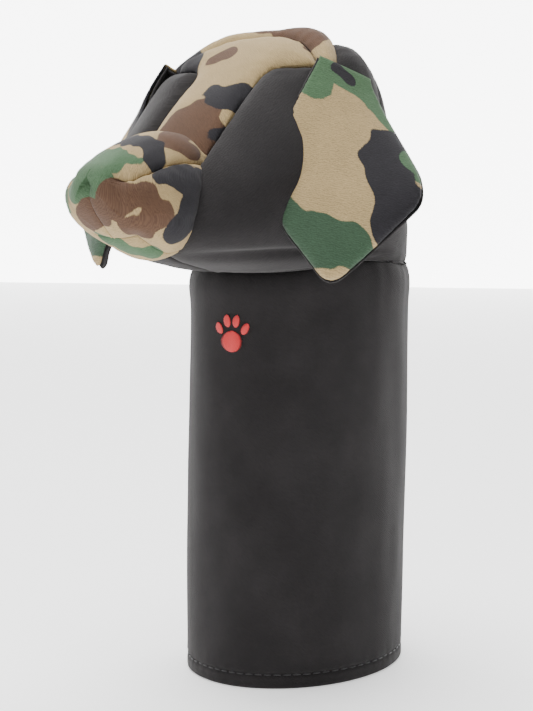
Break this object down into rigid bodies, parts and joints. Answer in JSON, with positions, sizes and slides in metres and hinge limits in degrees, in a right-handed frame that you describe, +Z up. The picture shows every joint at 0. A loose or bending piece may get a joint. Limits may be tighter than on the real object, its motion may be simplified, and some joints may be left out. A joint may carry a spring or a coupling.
{
  "type": "golf club head cover",
  "caption": "Padded oval sleeve open at the bottom, with a stuffed dog's head, muzzle and two hanging ears on top, for a golf driver.",
  "frame": {"origin": "centre of the sleeve's mouth, on the plane that it stands on", "axes": "+Z up along the sleeve, -Y the way the dog looks, +X the dog's left"},
  "size_m": [0.2072, 0.2012, 0.3095],
  "materials": {
    "black_twill": "brushed cotton twill, matt",
    "camo_twill": "brushed cotton twill printed with a woodland pattern, matt",
    "brushed_lining": "short brushed pile",
    "foam": "open-cell sheet foam",
    "fibre_fill": "loose polyester fibre",
    "elastic": "woven elastic tape",
    "black_thread": "polyester sewing thread",
    "red_thread": "rayon satin-stitch thread"
  },
  "bodies": {
    "cover": {"sleeve_cloth": "black_twill", "sleeve_foam": "foam", "sleeve_lining": "brushed_lining", "hem_facing": "black_twill", "neck_elastic": "elastic", "sleeve_back_seam": "black_twill", "hem_topstitching": "black_thread", "paw_emblem": "red_thread", "forehead_stripe": "camo_twill", "crown_panel": "camo_twill", "side_panel_left": "black_twill", "side_panel_right": "black_twill", "back_panel": "black_twill", "head_stuffing": "fibre_fill", "head_lining": "brushed_lining", "muzzle_top": "camo_twill", "muzzle_chin": "camo_twill", "jowl_left": "camo_twill", "jowl_right": "camo_twill", "muzzle_stuffing": "fibre_fill"},
    "ear_left": {"ear_left_inner": "black_twill", "ear_left_wadding": "fibre_fill", "ear_left_outer": "camo_twill"},
    "ear_right": {"ear_right_inner": "black_twill", "ear_right_wadding": "fibre_fill", "ear_right_outer": "camo_twill"}
  },
  "joints": [
    {"name": "ear_left_flap", "type": "hinge", "parent": "cover", "child": "ear_left", "pos_m": [0.05558, -0.0384, 0.28811], "axis": [-0.5975, -0.7007, 0.39], "range_deg": [0, 110]},
    {"name": "ear_right_flap", "type": "hinge", "parent": "cover", "child": "ear_right", "pos_m": [-0.05558, -0.0384, 0.28811], "axis": [-0.5975, 0.7007, -0.39], "range_deg": [0, 110]}
  ]
}
